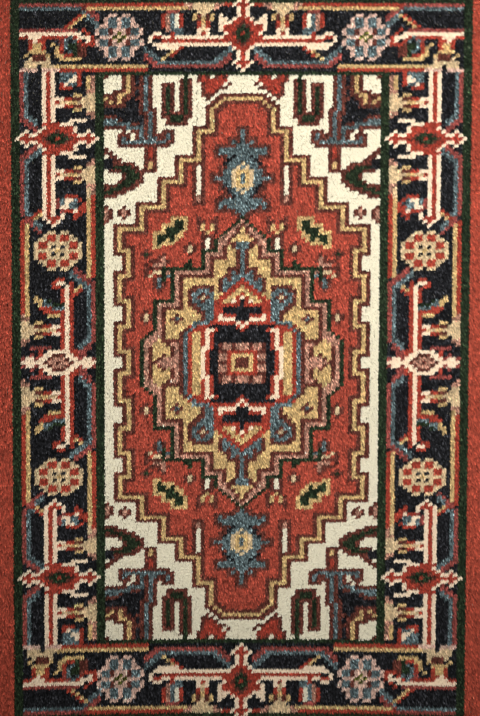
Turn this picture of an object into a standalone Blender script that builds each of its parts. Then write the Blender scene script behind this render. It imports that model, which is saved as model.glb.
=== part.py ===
"""Hand-knotted wool area rug: a stepped medallion on an ivory field, inside a navy border.

Metres, +Z up, +Y towards the rug's head, the origin at the middle of the underside.
The pile is laid out on the weaver's chart, in which one cell is one knot. Chart points are
(column, row), counted from the middle knot. Every zone of the pile is a slab of its own on the
ground weave, and the rug is the same in its four quarters.
"""
import math

import bpy
from mathutils import Vector

# One knot of the chart.
KNOT_WIDTH = 0.0050
KNOT_LENGTH = 0.004125

# Bands of the chart in knots, from the field outwards.
FIELD_HALF_COLUMNS = 31.5
FIELD_HALF_ROWS = 78.5
INNER_GUARD = 2
BORDER_COLUMNS = 17
BORDER_ROWS = 19
OUTER_GUARD = 2
SIDE_BAND_COLUMNS = 8
END_BAND_ROWS = 9

# Medallion: the middle of its gold line, from the head of the rug round to the side.
CRENEL_ROWS = 7
CRENEL_OUT = 28
CRENEL_IN = 26
MEDALLION_HEAD = [(0, 73), (5, 73), (7, 71), (7, 64), (10, 64), (10, 56), (14, 56), (14, 50),
                  (18, 50), (18, 43), (23, 43), (23, 37), (CRENEL_OUT, 37)]
OUTLINE_HALF = 1.5

# Inner medallion: the middle of its green line. Green, pink and maroon lines edge the gold.
INNER_MEDALLION = [(0, 40), (6, 34), (6, 31), (9, 31), (9, 26), (16, 26), (16, 17), (20, 17),
                   (20, 8), (23, 5), (23, 0)]
INNER_EDGE_OUT = 0.5
INNER_EDGE_IN = 2.5

# Heart of the rug, inside the gold.
HEART = [(0, 26), (5, 21), (11, 21), (11, 16), (9, 14), (9, 12), (13, 8), (13, 0)]

# Rosettes let into the border: their middles and half sizes, in knots.
ROSETTE_SIDES = 16
SIDE_ROSETTE_AT = (42, 31)
SIDE_ROSETTE_HALF = (6.0, 6.0)
END_ROSETTE_AT = (28, 90)
END_ROSETTE_HALF = (6.5, 7.0)

# Heights.
WEAVE_THICKNESS = 0.0030
PILE_HEIGHT = 0.0085

# Edges and ends.
SELVEDGE_DIAMETER = 0.0065
SELVEDGE_WRAP = 0.0010
KILIM_LENGTH = 0.012
KILIM_THICKNESS = 0.0022
END_CORD_RADIUS = 0.0011
TASSEL_PITCH = 0.0150
TASSEL_LENGTH = 0.042
TASSEL_NECK_HALF = 0.0014
TASSEL_KNOT_HALF = 0.0027
TASSEL_SKIRT_HALF = 0.0036
TASSEL_WAIST_IN_KNOTS = 2.5
TASSEL_WIDEST_SHARE = 0.6
TASSEL_TIP_SHARE = 0.7
FRINGE_HEADER = 0.0020
FRINGE_THICKNESS = 0.0030

# Gap between pieces that touch.
SEAM = 0.0003

ROUND_SIDES = 16
CORD_SIDES = 8

# A chart distance that counts as none, in knots.
NO_DISTANCE = 1e-6

# Linear colour and roughness of each finish.
RED = (0.30, 0.055, 0.036)
GREEN = (0.020, 0.030, 0.016)
NAVY = (0.010, 0.011, 0.014)
IVORY = (0.72, 0.66, 0.47)
GOLD = (0.52, 0.35, 0.15)
MAROON = (0.085, 0.028, 0.022)
PINK = (0.42, 0.22, 0.17)
BLUE = (0.11, 0.13, 0.14)
COTTON = (0.62, 0.57, 0.45)
WOOL_ROUGHNESS = 0.95
COTTON_ROUGHNESS = 0.90

# Edges of the bands, in knots from the middle.
INNER_GUARD_COLUMN = FIELD_HALF_COLUMNS + INNER_GUARD
INNER_GUARD_ROW = FIELD_HALF_ROWS + INNER_GUARD
BORDER_COLUMN = INNER_GUARD_COLUMN + BORDER_COLUMNS
BORDER_ROW = INNER_GUARD_ROW + BORDER_ROWS
OUTER_GUARD_COLUMN = BORDER_COLUMN + OUTER_GUARD
OUTER_GUARD_ROW = BORDER_ROW + OUTER_GUARD
EDGE_COLUMN = OUTER_GUARD_COLUMN + SIDE_BAND_COLUMNS
EDGE_ROW = OUTER_GUARD_ROW + END_BAND_ROWS

HALF_WIDTH = EDGE_COLUMN * KNOT_WIDTH
HALF_LENGTH = EDGE_ROW * KNOT_LENGTH
PILE_BOTTOM = WEAVE_THICKNESS + SEAM
PILE_TOP = PILE_BOTTOM + PILE_HEIGHT

SIDES = (("left", -1), ("right", 1))
ENDS = (("head", 1), ("foot", -1))


def clear_scene():
    for old in list(bpy.data.objects):
        bpy.data.objects.remove(old, do_unlink=True)


def finish(name, colour, roughness):
    made = bpy.data.materials.new(name)
    made.use_nodes = True
    shader = made.node_tree.nodes["Principled BSDF"]
    shader.inputs["Base Color"].default_value = (*colour, 1.0)
    shader.inputs["Roughness"].default_value = roughness
    return made


def shifted(points, distance):
    """A closed outline moved inwards by distance, or outwards if it is negative, with sharp corners."""
    area = sum(a[0] * b[1] - b[0] * a[1] for a, b in zip(points, points[1:] + points[:1]))
    turn = 1 if area > 0 else -1
    moved = []
    for i, point in enumerate(points):
        here = Vector(point)
        before = (here - Vector(points[i - 1])).normalized()
        after = (Vector(points[(i + 1) % len(points)]) - here).normalized()
        normal = Vector((-before.y, before.x)) * turn
        next_normal = Vector((-after.y, after.x)) * turn
        mitre = (normal + next_normal).normalized()
        moved.append(tuple(here + mitre * (distance / mitre.dot(normal))))
    return moved


def all_round(quarter):
    """The closed outline whose first quarter runs from the head's axis to the side's axis."""
    right = quarter + [(u, -v) for u, v in reversed(quarter) if v > 0]
    return right + [(-u, v) for u, v in reversed(right) if u > 0]


def in_quarter(outline):
    """The stretch of a closed outline that lies in the first quarter, ending on both axes."""
    top = max((p for p in crossings(outline, 0)), key=lambda p: p[1])
    side = max((p for p in crossings(outline, 1)), key=lambda p: p[0])
    between = [p for p in outline if p[0] > NO_DISTANCE and p[1] > NO_DISTANCE]
    return [top] + between + [side]


def crossings(outline, axis):
    """Where a closed outline meets the line on which coordinate number axis is zero."""
    found = []
    for a, b in zip(outline, outline[1:] + outline[:1]):
        if abs(a[axis]) < NO_DISTANCE:
            found.append((a[0] * axis, a[1] * (1 - axis)))
        elif a[axis] * b[axis] < 0:
            share = a[axis] / (a[axis] - b[axis])
            other = a[1 - axis] + (b[1 - axis] - a[1 - axis]) * share
            found.append((other, 0.0) if axis else (0.0, other))
    return found


def mirrored(points, side, end):
    return [(u * side, v * end) for u, v in points]


def box_outline(low_column, high_column, low_row, high_row):
    return [(low_column, low_row), (high_column, low_row), (high_column, high_row), (low_column, high_row)]


def rosette_outline(middle, half):
    """A round outline of ROSETTE_SIDES equal turns about a chart point."""
    turns = [math.tau * (step + 0.5) / ROSETTE_SIDES for step in range(ROSETTE_SIDES)]
    return [(middle[0] + half[0] * math.cos(turn), middle[1] + half[1] * math.sin(turn)) for turn in turns]


def to_metres(points):
    return [(u * KNOT_WIDTH, v * KNOT_LENGTH) for u, v in points]


def slab(name, outline, bottom, top, material, holes=()):
    """A flat piece with an outline in metres, set back by half a seam from it and from its holes."""
    drawing = bpy.data.curves.new(name, "CURVE")
    drawing.dimensions = "2D"
    drawing.fill_mode = "BOTH"
    drawing.extrude = (top - bottom) / 2
    edges = [shifted(outline, SEAM / 2)] + [shifted(hole, -SEAM / 2) for hole in holes]
    for edge in edges:
        spline = drawing.splines.new("POLY")
        spline.points.add(len(edge) - 1)
        for point, (x, y) in zip(spline.points, edge):
            point.co = (x, y, 0, 1)
        spline.use_cyclic_u = True
    piece = bpy.data.objects.new(name, drawing)
    piece.location.z = (top + bottom) / 2
    rug.objects.link(piece)
    drawing.materials.append(material)
    return piece


def pile(name, outline, material, holes=()):
    metric_holes = [to_metres(hole) for hole in holes]
    return slab(name, to_metres(outline), PILE_BOTTOM, PILE_TOP, material, metric_holes)


def take(name, material):
    """The primitive just added becomes a piece of the rug."""
    piece = bpy.context.object
    piece.name = name
    piece.data.name = name
    for held in list(piece.users_collection):
        held.objects.unlink(piece)
    rug.objects.link(piece)
    piece.data.materials.append(material)
    return piece


def ground_weave():
    outline = box_outline(-HALF_WIDTH, HALF_WIDTH, -HALF_LENGTH, HALF_LENGTH)
    slab("ground_weave", outline, 0, WEAVE_THICKNESS, cotton)


def edge_bands():
    for end_name, end in ENDS:
        strip = box_outline(-EDGE_COLUMN, EDGE_COLUMN, OUTER_GUARD_ROW, EDGE_ROW)
        pile(f"end_band_{end_name}", mirrored(strip, 1, end), red)
    for side_name, side in SIDES:
        strip = box_outline(OUTER_GUARD_COLUMN, EDGE_COLUMN, -OUTER_GUARD_ROW, OUTER_GUARD_ROW)
        pile(f"side_band_{side_name}", mirrored(strip, side, 1), red)


def guards(name, column, row, knots):
    """Four strips of a frame, knots wide, inside the given column and row."""
    for end_name, end in ENDS:
        strip = box_outline(-column, column, row - knots, row)
        pile(f"{name}_{end_name}", mirrored(strip, 1, end), green)
    for side_name, side in SIDES:
        strip = box_outline(column - knots, column, -(row - knots), row - knots)
        pile(f"{name}_{side_name}", mirrored(strip, side, 1), green)


def border():
    side_rosette = rosette_outline(SIDE_ROSETTE_AT, SIDE_ROSETTE_HALF)
    end_rosette = rosette_outline(END_ROSETTE_AT, END_ROSETTE_HALF)
    for end_name, end in ENDS:
        strip = box_outline(-BORDER_COLUMN, BORDER_COLUMN, INNER_GUARD_ROW, BORDER_ROW)
        holes = [mirrored(end_rosette, side, end) for _, side in SIDES]
        pile(f"border_{end_name}", mirrored(strip, 1, end), navy, holes)
        for (side_name, _), hole in zip(SIDES, holes):
            pile(f"rosette_{end_name}_{side_name}", hole, blue)
    for side_name, side in SIDES:
        strip = box_outline(INNER_GUARD_COLUMN, BORDER_COLUMN, -INNER_GUARD_ROW, INNER_GUARD_ROW)
        holes = [mirrored(side_rosette, side, end) for _, end in ENDS]
        pile(f"border_{side_name}", mirrored(strip, side, 1), navy, holes)
        for (end_name, _), hole in zip(ENDS, holes):
            pile(f"rosette_{side_name}_{end_name}", hole, pink)


def medallion_line():
    """The gold line's quarter, with its crenellated side worked out from the pitch."""
    points = list(MEDALLION_HEAD)
    row = MEDALLION_HEAD[-1][1] - CRENEL_ROWS + 1
    out, back = CRENEL_OUT, CRENEL_IN
    while row > 0:
        points += [(out, row), (back, row)]
        out, back = back, out
        row -= CRENEL_ROWS
    return points + [(out, 0)]


def quarter_edge(line, distance):
    """A line's quarter, moved inwards by distance in knots."""
    return in_quarter(shifted(all_round(line), distance))


def field():
    gold_line = medallion_line()
    outside = quarter_edge(gold_line, -OUTLINE_HALF)
    inside = quarter_edge(gold_line, OUTLINE_HALF)
    inner_outside = quarter_edge(INNER_MEDALLION, -INNER_EDGE_OUT)
    inner_inside = quarter_edge(INNER_MEDALLION, INNER_EDGE_IN)
    corner = [(FIELD_HALF_COLUMNS, 0), (FIELD_HALF_COLUMNS, FIELD_HALF_ROWS), (0, FIELD_HALF_ROWS)]
    zones = (("spandrel", outside + corner, ivory),
             ("medallion_outline", outside + inside[::-1], gold),
             ("medallion_ground", inside + inner_outside[::-1], red),
             ("inner_outline", inner_outside + inner_inside[::-1], maroon),
             ("inner_ground", inner_inside + HEART[::-1], gold))
    for end_name, end in ENDS:
        for side_name, side in SIDES:
            for name, outline, material in zones:
                pile(f"{name}_{end_name}_{side_name}", mirrored(outline, side, end), material)
    pile("heart", all_round(HEART), navy)


def selvedge(side_name, side):
    """A cord along the rug's edge, and the yarn that is wrapped over it."""
    middle = (side * (HALF_WIDTH + SEAM / 2 + SELVEDGE_DIAMETER / 2), 0, SELVEDGE_DIAMETER / 2)
    along_y = (math.pi / 2, 0, 0)
    length = 2 * HALF_LENGTH - SEAM
    bpy.ops.mesh.primitive_cylinder_add(vertices=ROUND_SIDES, radius=SELVEDGE_DIAMETER / 2, depth=length,
                                        end_fill_type="NOTHING", location=middle, rotation=along_y)
    wrap = take(f"selvedge_wrap_{side_name}", red)
    wall = wrap.modifiers.new("wall", "SOLIDIFY")
    wall.thickness = SELVEDGE_WRAP
    wall.offset = -1
    wall.use_even_offset = True
    core_radius = SELVEDGE_DIAMETER / 2 - SELVEDGE_WRAP - SEAM
    bpy.ops.mesh.primitive_cylinder_add(vertices=ROUND_SIDES, radius=core_radius, depth=length,
                                        location=middle, rotation=along_y)
    take(f"selvedge_core_{side_name}", cotton)


def end_finish(end_name, end):
    """The bare weave past the pile, the cord that locks it, and the tassels of its warps."""
    near = HALF_LENGTH
    far = near + KILIM_LENGTH
    strip = box_outline(-HALF_WIDTH, HALF_WIDTH, near, far)
    slab(f"kilim_{end_name}", mirrored(strip, 1, end), 0, KILIM_THICKNESS, cotton)
    cord_at = (0, end * (near + END_CORD_RADIUS + SEAM), KILIM_THICKNESS + SEAM + END_CORD_RADIUS)
    bpy.ops.mesh.primitive_cylinder_add(vertices=CORD_SIDES, radius=END_CORD_RADIUS,
                                        depth=2 * HALF_WIDTH - SEAM, location=cord_at,
                                        rotation=(0, math.pi / 2, 0))
    take(f"end_cord_{end_name}", navy)
    fringe(end_name, end, far)


def tassel_profile():
    """Distance past the header and half width along one tassel: neck, overhand knot, waist and skirt."""
    knot = TASSEL_KNOT_HALF
    return [(0, TASSEL_NECK_HALF), (knot / 2, TASSEL_NECK_HALF), (knot, knot), (2 * knot, knot),
            (TASSEL_WAIST_IN_KNOTS * knot, TASSEL_NECK_HALF),
            (TASSEL_LENGTH * TASSEL_WIDEST_SHARE, TASSEL_SKIRT_HALF),
            (TASSEL_LENGTH, TASSEL_SKIRT_HALF * TASSEL_TIP_SHARE)]


def fringe(end_name, end, start):
    """The warps past the kilim: a narrow header, and a tassel at every TASSEL_PITCH."""
    count = int((2 * HALF_WIDTH - 2 * TASSEL_KNOT_HALF) / TASSEL_PITCH) + 1
    root = start + FRINGE_HEADER
    outline = [(HALF_WIDTH, root), (HALF_WIDTH, start), (-HALF_WIDTH, start), (-HALF_WIDTH, root)]
    profile = tassel_profile()
    for number in range(count):
        middle = (number - (count - 1) / 2) * TASSEL_PITCH
        outline += [(middle - half, root + along) for along, half in profile]
        outline += [(middle + half, root + along) for along, half in reversed(profile)]
    slab(f"fringe_{end_name}", mirrored(outline, 1, end), 0, FRINGE_THICKNESS, cotton)


clear_scene()
rug = bpy.data.collections.new("area_rug")
bpy.context.scene.collection.children.link(rug)

red = finish("red_wool", RED, WOOL_ROUGHNESS)
green = finish("green_wool", GREEN, WOOL_ROUGHNESS)
navy = finish("navy_wool", NAVY, WOOL_ROUGHNESS)
ivory = finish("ivory_wool", IVORY, WOOL_ROUGHNESS)
gold = finish("gold_wool", GOLD, WOOL_ROUGHNESS)
maroon = finish("maroon_wool", MAROON, WOOL_ROUGHNESS)
pink = finish("pink_wool", PINK, WOOL_ROUGHNESS)
blue = finish("blue_wool", BLUE, WOOL_ROUGHNESS)
cotton = finish("cotton", COTTON, COTTON_ROUGHNESS)

ground_weave()
edge_bands()
guards("outer_guard", OUTER_GUARD_COLUMN, OUTER_GUARD_ROW, OUTER_GUARD)
border()
guards("inner_guard", INNER_GUARD_COLUMN, INNER_GUARD_ROW, INNER_GUARD)
field()
for side_label, side_sign in SIDES:
    selvedge(side_label, side_sign)
for end_label, end_sign in ENDS:
    end_finish(end_label, end_sign)
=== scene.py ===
"""A small hand-knotted wool rug: its pile, ground weave, selvedges, end finishes and fringes."""
import math

import bpy
import numpy as np
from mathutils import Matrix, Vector


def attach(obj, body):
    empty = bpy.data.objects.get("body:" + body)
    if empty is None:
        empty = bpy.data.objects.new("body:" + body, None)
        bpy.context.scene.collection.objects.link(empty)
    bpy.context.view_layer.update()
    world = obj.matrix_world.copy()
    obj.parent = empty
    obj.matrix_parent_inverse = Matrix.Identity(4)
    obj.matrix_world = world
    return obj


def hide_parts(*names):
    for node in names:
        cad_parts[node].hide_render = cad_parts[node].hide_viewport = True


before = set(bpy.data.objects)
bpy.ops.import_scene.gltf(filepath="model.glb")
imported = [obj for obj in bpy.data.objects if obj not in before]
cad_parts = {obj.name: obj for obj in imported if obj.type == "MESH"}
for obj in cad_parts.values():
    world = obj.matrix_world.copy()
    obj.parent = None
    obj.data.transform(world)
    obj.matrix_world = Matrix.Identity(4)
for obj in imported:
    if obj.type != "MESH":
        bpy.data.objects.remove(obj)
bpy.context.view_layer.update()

# ---- Sizes: metres, and knots counted from the middle of the rug ----
KNOT_WIDTH = 0.0050
KNOT_LENGTH = 0.004125
LAST_COLUMN, LAST_ROW = 60, 110
HALF_WIDTH = (LAST_COLUMN + 0.5) * KNOT_WIDTH
HALF_LENGTH = (LAST_ROW + 0.5) * KNOT_LENGTH
FIELD_EDGE = (31, 78)
INNER_GUARD_EDGE = (33, 80)
BORDER_EDGE = (50, 99)
OUTER_GUARD_EDGE = (52, 101)
SIDE_ROSETTE, SIDE_ROSETTE_HALF = (42, 31), (6, 6)
END_ROSETTE, END_ROSETTE_HALF = (28, 90), (6.5, 7)

# ---- Dyes: the colour, and how far its tone spreads from strand to strand ----
DYES = {
    "red": ((160, 68, 54), 0.32),
    "ivory": ((213, 205, 181), 0.01),
    "navy": ((40, 40, 42), 0.85),
    "green": ((44, 54, 38), 0.62),
    "gold": ((200, 170, 118), 0.34),
    "blue": ((97, 111, 112), 0.66),
    "pink": ((178, 132, 112), 0.54),
    "maroon": ((101, 58, 49), 0.48),
    "tan": ((206, 182, 144), 0.26),
    "cream": ((230, 209, 181), 0.04),
    "rose": ((145, 76, 69), 0.42),
    "field": ((166, 78, 62), 0.34),
    "band": ((167, 77, 60), 0.32),
    "blush": ((208, 174, 156), 0.30),
    "olive": ((92, 94, 44), 0.70),
}
(RED, IVORY, NAVY, GREEN, GOLD, BLUE, PINK, MAROON, TAN, CREAM, ROSE, FIELD, BAND, BLUSH,
 OLIVE) = range(len(DYES))
DYE_COLOURS = ((np.array([colour for colour, _ in DYES.values()]) / 255) ** 2.2).astype(np.float32)
TONE = np.array([spread for _, spread in DYES.values()])

# ---- Lines of steps, from the rug's long axis round to its short one: (column, row) ----
MEDALLION = [(0, 73), (4, 73), (7, 70), (7, 64), (10, 64), (10, 56), (14, 56), (14, 50), (18, 50), (18, 43),
             (23, 43), (23, 37), (28, 37), (28, 31), (26, 31), (26, 24), (28, 24), (28, 17), (26, 17),
             (26, 10), (28, 10), (28, 3), (26, 3), (26, 0)]
INNER_MEDALLION = [(0, 40), (6, 34), (6, 31), (9, 31), (9, 26), (16, 26), (16, 17), (20, 17), (20, 9),
                   (23, 6), (23, 0)]
HEART = [(0, 26), (5, 21), (11, 21), (11, 16), (9, 14), (9, 12), (13, 8), (13, 0)]

# ---- The knotting chart: one quarter of the rug, counted in knots from its middle ----
chart = np.full((LAST_ROW + 1, LAST_COLUMN + 1), BAND, dtype=np.int8)


def box(dye, u0, u1, v0, v1):
    """Dye every knot of a block."""
    chart[v0:v1 + 1, u0:u1 + 1] = dye


def line(dye, *points):
    """Dye the knots on the straight lines from point to point."""
    for (u0, v0), (u1, v1) in zip(points, points[1:] or points):
        steps = max(abs(u1 - u0), abs(v1 - v0), 1)
        for i in range(steps + 1):
            chart[round(v0 + (v1 - v0) * i / steps), round(u0 + (u1 - u0) * i / steps)] = dye


def diagonal(dye, *points):
    """A slanting line two knots high, so that its steps join."""
    line(dye, *points)
    line(dye, *[(u, v + 1) for u, v in points])


def dots(dye, *points):
    for u, v in points:
        chart[v, u] = dye


def fill(dye, steps):
    """Dye the knots from the middle of the rug out to a line of steps that runs from its long axis."""
    v, u = np.mgrid[0:LAST_ROW + 1, 0:LAST_COLUMN + 1]
    ring = [(-1, steps[0][1])] + list(steps) + [(steps[-1][0], -1), (-1, -1)]
    inside = np.zeros(chart.shape, dtype=bool)
    for (u0, v0), (u1, v1) in zip(ring, ring[1:] + ring[:1]):
        if v0 != v1:
            inside ^= ((v0 > v) != (v1 > v)) & (u < u0 + (v - v0) * (u1 - u0) / (v1 - v0))
    chart[inside] = dye
    line(dye, *steps)


def inset(steps, by):
    return [(max(u - by, 0), max(v - by, 0)) for u, v in steps]


def rim(dye, of, u0, u1, v0, v1, keep=()):
    """Within a block, dye the knots that touch the knots of another dye."""
    part = chart[v0:v1 + 1, u0:u1 + 1]
    core = np.pad(part == of, 1)
    touched = np.zeros(part.shape, dtype=bool)
    for dv in (0, 1, 2):
        for du in (0, 1, 2):
            touched |= core[dv:dv + part.shape[0], du:du + part.shape[1]]
    part[touched & (part != of) & ~np.isin(part, keep)] = dye


def pen_at(u, v, across, along):
    """A pen that draws in a motif's own directions, the same on both sides of its middle line."""
    def pen(dye, *points):
        for side in (1, -1):
            spots = [(u + side * s * across[0] + t * along[0], v + side * s * across[1] + t * along[1])
                     for s, t in points]
            if min(min(spot) for spot in spots) >= 0:
                line(dye, *spots)
    return pen


def draw_bands():
    """The guards and the border as whole blocks, one on another, and the ivory field on top."""
    for dye, (u, v) in ((GREEN, OUTER_GUARD_EDGE), (NAVY, BORDER_EDGE), (GREEN, INNER_GUARD_EDGE)):
        box(dye, 0, u, 0, v)
    box(IVORY, 0, FIELD_EDGE[0], 0, FIELD_EDGE[1] + 1)


def draw_palmette(pen, reach):
    """A red diamond with a green heart and a spike across the stem on both sides."""
    for way in (1, -1):
        pen(CREAM, (1, way * 4), (1, way * (reach - 1)))
        pen(CREAM, (0, way * reach))
        pen(CREAM, (2, way * (reach - 2)))
        pen(CREAM, (2, way * 4))
        pen(RED, (0, way * 4), (0, way * (reach - 1)))
        pen(RED, (1, way * (reach - 2)))
        pen(RED, (1, way * 4))
        pen(RED, (0, way * 3), (2, way * 3))
        pen(RED, (0, way * 2), (3, way * 2))
        pen(MAROON, (0, way * 3))
        pen(MAROON, (1, way * 2))
        pen(GREEN, (0, way * 2))
    for t in (-1, 0, 1):
        pen(RED, (0, t), (4, t))
        pen(GREEN, (0, t), (1, t))
    pen(MAROON, (2, 0))
    pen(RED, (0, 0))


def draw_calyx(pen):
    """A pale calyx that stands on an edge of the border and joins a stem with its tip."""
    pen(PINK, (0, 0), (4, 0))
    pen(TAN, (0, 0), (2, 0))
    pen(PINK, (3, 1))
    pen(TAN, (0, 1), (2, 1))
    pen(TAN, (0, 2), (1, 2))
    pen(TAN, (0, 3), (0, 3))
    pen(GOLD, (2, 4), (2, 3))
    pen(MAROON, (1, 3), (1, 4))
    pen(GOLD, (0, 4), (0, 5))
    pen(RED, (1, 5), (1, 7))
    pen(TAN, (0, 6), (0, 7))
    pen(CREAM, (1, 7), (1, 8))
    pen(RED, (0, 8))


def draw_end_rosette(u, v):
    """Eight blue petals, two knots by three, in a paler frame round an olive heart."""
    for way in (1, -1):
        pen = pen_at(u, v, (1, 0), (0, way))
        pen(BLUSH, (0, 0), (0, 5))
        pen(BLUSH, (1, 6), (2, 6))
        pen(BLUSH, (3, 2), (3, 5))
        pen(BLUSH, (0, 0), (4, 0))
        pen(BLUSH, (5, 1), (5, 2))
        pen(BLUSH, (4, 3))
        pen(BLUE, (1, 3), (1, 5))
        pen(BLUE, (2, 3), (2, 5))
        pen(BLUE, (3, 1), (3, 2))
        pen(BLUE, (4, 1), (4, 2))
        pen(BLUSH, (1, 1), (1, 2))
        pen(MAROON, (2, 1), (2, 2))
        pen(OLIVE, (0, 1))
        pen(OLIVE, (1, 0))
        pen(TAN, (0, 0))


def draw_side_rosette(u, v):
    """A round of tan with eight red petals, two rows lower than the end border's rosette."""
    for way in (1, -1):
        pen = pen_at(u, v, (1, 0), (0, way))
        for t, reach in enumerate((5, 5, 5, 4, 4, 2)):
            pen(TAN, (0, t), (reach, t))
        pen(RED, (1, 3), (2, 3))
        pen(RED, (1, 4), (2, 4))
        pen(RED, (3, 1), (4, 1))
        pen(RED, (3, 2), (4, 2))
        pen(NAVY, (1, 1))
        pen(NAVY, (0, 5))
        pen(NAVY, (4, 4))
    dots(GOLD, (u, v))


def draw_end_border():
    # edge lines
    line(RED, (0, 99), (36, 99))
    line(GOLD, (13, 98), (36, 98))
    line(ROSE, (37, 99), (50, 99))
    line(BLUE, (37, 98), (50, 98))
    line(RED, (22, 81), (42, 81))
    line(GOLD, (22, 82), (42, 82))
    diagonal(ROSE, (3, 84), (6, 81))
    diagonal(ROSE, (19, 81), (22, 84))
    line(ROSE, (6, 82), (19, 82))
    diagonal(BLUE, (3, 86), (6, 83))
    diagonal(BLUE, (19, 83), (22, 86))
    line(BLUE, (6, 83), (19, 83))
    diagonal(ROSE, (36, 97), (33, 95))
    diagonal(BLUE, (36, 96), (33, 93))
    box(NAVY, 6, 20, 81, 81)
    # the stem beside the middle palmette, with its hooked tip
    line(CREAM, (3, 90), (18, 90), (19, 91), (20, 91), (21, 90), (21, 89), (20, 88), (19, 87), (15, 87))
    line(CREAM, (3, 88), (17, 88))
    line(RED, (3, 89), (18, 89), (19, 90), (20, 90))
    line(CREAM, (18, 88), (19, 88))
    # small leaf under the stem
    line(RED, (15, 86), (17, 85))
    line(GOLD, (16, 86), (18, 84))
    dots(RED, (14, 87), (16, 85))
    # upright bud
    box(RED, 14, 18, 93, 96)
    box(BLUE, 16, 16, 92, 96)
    box(IVORY, 15, 15, 92, 96)
    box(PINK, 17, 17, 92, 96)
    line(ROSE, (15, 97), (17, 97))
    box(BLUE, 14, 15, 91, 92)
    line(RED, (16, 90), (16, 91))
    draw_calyx(pen_at(9, 99, (1, 0), (0, -1)))
    # middle palmette and its antlers
    pen = pen_at(0, 91, (1, 0), (0, 1))
    draw_palmette(pen, 10)
    pen(CREAM, (5, 1), (5, 5))
    pen(CREAM, (3, 3), (4, 3), (4, 4))
    pen(CREAM, (4, 0), (5, -1))
    pen(RED, (4, 1), (4, 2))
    # corner stem, its hook, its leaf and its calyx
    line(ROSE, (38, 92), (50, 92))
    line(CREAM, (37, 91), (50, 91))
    line(RED, (38, 90), (44, 90))
    line(RED, (36, 92), (34, 90), (34, 88), (36, 88), (37, 89), (37, 90))
    diagonal(CREAM, (37, 90), (35, 89))
    line(RED, (37, 96), (40, 93))
    line(GOLD, (36, 96), (39, 93))
    box(BLUSH, 42, 50, 81, 81)
    box(TAN, 43, 49, 82, 82)
    box(TAN, 44, 49, 83, 83)
    box(TAN, 44, 48, 84, 84)
    box(MAROON, 45, 47, 84, 85)
    dots(NAVY, (46, 81), (46, 82))
    dots(GOLD, (44, 85), (49, 85))
    box(GOLD, 45, 48, 86, 86)
    box(RED, 45, 48, 87, 89)
    box(GOLD, 46, 47, 87, 88)
    line(CREAM, (46, 90), (48, 90))
    dots(CREAM, (47, 89))
    dots(RED, (45, 90), (49, 90), (50, 90))
    # crescent bud under the corner stem
    line(GOLD, (43, 88), (42, 87), (42, 86), (41, 85), (40, 84), (37, 84))
    line(GOLD, (41, 84), (42, 85))
    line(RED, (41, 88), (41, 86), (40, 85), (39, 85))
    line(BLUE, (40, 89), (40, 87), (39, 86))
    line(ROSE, (41, 89), (40, 90))
    line(BLUE, (39, 90), (38, 89))
    box(GREEN, 38, 39, 87, 88)
    line(GREEN, (38, 86), (38, 85))
    line(MAROON, (37, 88), (36, 87), (36, 85), (37, 85), (37, 87))
    draw_end_rosette(*END_ROSETTE)


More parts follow.
